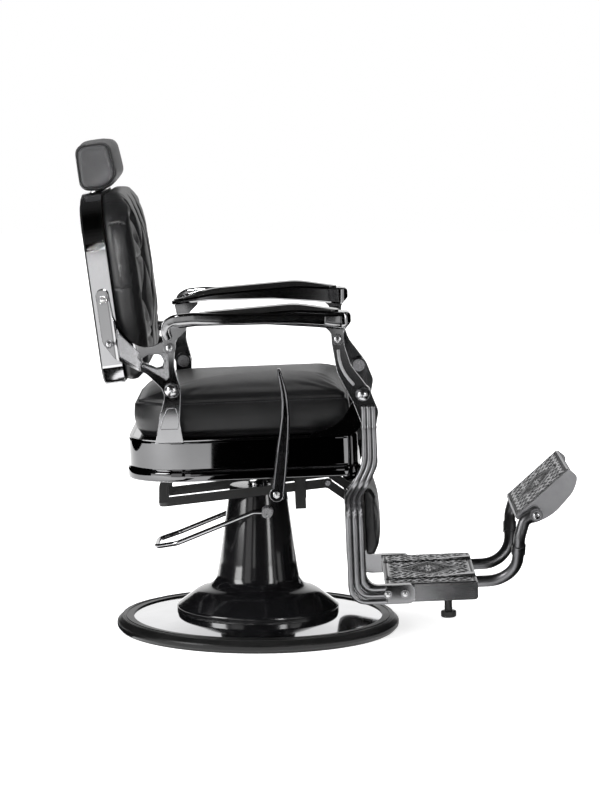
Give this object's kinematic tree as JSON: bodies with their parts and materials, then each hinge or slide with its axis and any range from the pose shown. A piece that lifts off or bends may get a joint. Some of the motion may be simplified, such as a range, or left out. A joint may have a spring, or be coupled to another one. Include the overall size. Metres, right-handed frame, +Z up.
{
  "type": "barber chair",
  "caption": "Upholstered hydraulic barber chair on a round pump base, with armrests, headrest, footplate and toe rest; back and leg rest recline together.",
  "frame": {"origin": "centre of the round base on the floor", "axes": "+X towards the sitter's front, +Y to the sitter's left, +Z up"},
  "size_m": [1.1093, 0.69, 1.1045],
  "materials": {
    "steel_plate": "satin",
    "rubber_ring": "matt",
    "chrome_dish": "polished",
    "gloss_black": "gloss",
    "machined_steel": "machined",
    "bronze": "machined",
    "plywood": "plain",
    "black_chrome": "dark polished",
    "dark_cast": "dark plated",
    "seat_leather": "soft",
    "arm_gloss": "gloss",
    "back_panel": "satin",
    "black_steel": "satin",
    "gunmetal": "satin cast",
    "pewter": "cast",
    "bright_bolts": "bright",
    "knob_plastic": "black"
  },
  "bodies": {
    "base": {"base_plate": "steel_plate", "base_ring": "rubber_ring", "base_cover": "chrome_dish", "column_cover": "gloss_black", "column_cap": "chrome_dish", "pump_cylinder": "machined_steel", "pump_bolts": "machined_steel", "pump_block": "machined_steel"},
    "pump_lever": {"pump_shafts": "machined_steel", "pedal_hubs": "chrome_dish", "pump_pedal": "chrome_dish"},
    "lift": {"piston": "chrome_dish", "thrust_washer": "bronze"},
    "seat": {"seat_mount": "steel_plate", "mount_bolts": "machined_steel", "seat_tray": "steel_plate", "seat_board": "plywood", "seat_skirt": "black_chrome", "seat_cushion": "seat_leather", "rear_post_right": "black_chrome", "rear_post_left": "black_chrome", "front_lug_right": "black_chrome", "front_lug_left": "black_chrome", "pivot_pins": "machined_steel", "pivot_caps": "chrome_dish", "hoop_guides": "black_steel", "lever_hangers": "black_steel"},
    "back": {"back_rim": "black_chrome", "back_shell": "back_panel", "back_board": "plywood", "headrest_sockets": "machined_steel", "back_cushion": "seat_leather", "back_bracket_right": "black_chrome", "back_bracket_left": "black_chrome", "bracket_bolts": "bright_bolts", "arm_rear_pins": "bright_bolts"},
    "headrest": {"headrest_pad": "seat_leather", "headrest_posts": "chrome_dish"},
    "arm_right": {"arm_frame_right": "dark_cast", "arm_pad_right": "arm_gloss"},
    "arm_left": {"arm_frame_left": "dark_cast", "arm_pad_left": "arm_gloss"},
    "leg_rest": {"leg_right": "gunmetal", "leg_left": "gunmetal", "leg_crossbar": "black_steel", "hoop_pins": "machined_steel", "calf_board": "plywood", "calf_pad": "seat_leather", "footplate": "pewter", "leg_bolts": "bright_bolts", "arm_front_pins": "bright_bolts"},
    "toe_slide": {"toe_arm_right": "gunmetal", "toe_arm_left": "gunmetal"},
    "toe_rest": {"toe_plate": "pewter", "toe_pad": "seat_leather", "toe_bolts": "bright_bolts"},
    "clamp": {"clamp_knob": "knob_plastic"},
    "hoop": {"lock_hoop": "black_steel"},
    "lever": {"recline_lever": "gunmetal", "lever_shaft": "machined_steel"}
  },
  "joints": [
    {"name": "seat_lift", "type": "slide", "parent": "base", "child": "lift", "axis": [0, 0, 1], "range_m": [0, 0.15]},
    {"name": "seat_swivel", "type": "hinge", "parent": "lift", "child": "seat", "pos_m": [0, 0, 0.36], "axis": [0, 0, 1], "continuous": true},
    {"name": "pump_stroke", "type": "hinge", "parent": "base", "child": "pump_lever", "pos_m": [0.022, 0, 0.274], "axis": [0, -1, 0], "range_deg": [0, 20], "stiffness_Nm_per_rad": 6, "springref_deg": -28.65},
    {"name": "back_recline", "type": "hinge", "parent": "seat", "child": "back", "pos_m": [-0.17944, 0, 0.57693], "axis": [0, -1, 0], "range_deg": [0, 30]},
    {"name": "leg_swing", "type": "hinge", "parent": "seat", "child": "leg_rest", "pos_m": [0.23127, 0, 0.5674], "axis": [0, -1, 0], "range_deg": [0, 25]},
    {"name": "arm_right_pivot", "type": "hinge", "parent": "back", "child": "arm_right", "pos_m": [-0.18313, -0.314, 0.66885], "axis": [0, -1, 0], "range_deg": [-34, 0]},
    {"name": "arm_left_pivot", "type": "hinge", "parent": "back", "child": "arm_left", "pos_m": [-0.18313, 0.314, 0.66885], "axis": [0, -1, 0], "range_deg": [-34, 0]},
    {"name": "hoop_pivot", "type": "hinge", "parent": "leg_rest", "child": "hoop", "pos_m": [0.15729, 0, 0.34125], "axis": [0, -1, 0], "range_deg": [-25, 0]},
    {"name": "headrest_slide", "type": "slide", "parent": "back", "child": "headrest", "axis": [-0.134, 0, 0.991], "range_m": [0, 0.09]},
    {"name": "toe_slide", "type": "slide", "parent": "leg_rest", "child": "toe_slide", "axis": [0.9992, 0, 0.0401], "range_m": [0, 0.1]},
    {"name": "toe_flip", "type": "hinge", "parent": "toe_slide", "child": "toe_rest", "pos_m": [0.61697, 0, 0.28365], "axis": [0, -1, 0], "range_deg": [0, 150]},
    {"name": "knob_turn", "type": "hinge", "parent": "leg_rest", "child": "clamp", "pos_m": [0.43199, 0, 0.05504], "axis": [-0.0401, 0, 0.9992], "continuous": true},
    {"name": "lever_pull", "type": "hinge", "parent": "seat", "child": "lever", "pos_m": [0.04593, 0, 0.34779], "axis": [0, -1, 0], "range_deg": [0, 16], "stiffness_Nm_per_rad": 8, "springref_deg": -17.19}
  ],
  "couplings": [
    {"joint": "leg_swing", "follows": "back_recline", "ratio": 0.8},
    {"joint": "arm_right_pivot", "follows": "back_recline", "ratio": -1.1},
    {"joint": "arm_left_pivot", "follows": "back_recline", "ratio": -1.1},
    {"joint": "hoop_pivot", "follows": "back_recline", "ratio": -0.8}
  ]
}
